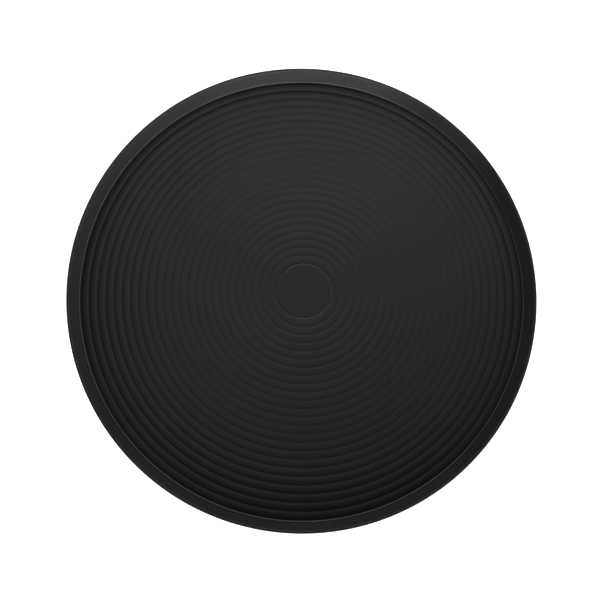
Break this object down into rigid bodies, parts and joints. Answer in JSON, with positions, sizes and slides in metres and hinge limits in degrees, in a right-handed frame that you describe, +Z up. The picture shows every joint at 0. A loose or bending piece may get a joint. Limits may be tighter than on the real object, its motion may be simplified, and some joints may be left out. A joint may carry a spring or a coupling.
{
  "type": "serving tray",
  "caption": "Round black serving tray with a low flared rim wall and a soft non-slip mat of concentric ribs in its well.",
  "frame": {"origin": "centre of the foot ring, on the plane that the tray rests on", "axes": "+Z up along the axis of the round tray; +X and +Y lie in the resting plane"},
  "size_m": [0.35, 0.3499, 0.018],
  "materials": {
    "tray_plastic": "satin black moulded plastic with a very fine grain",
    "mat_rubber": "satin black soft rubber, moulded smooth"
  },
  "bodies": {
    "root": {"tray_body": "tray_plastic", "ribbed_mat": "mat_rubber"}
  },
  "joints": []
}
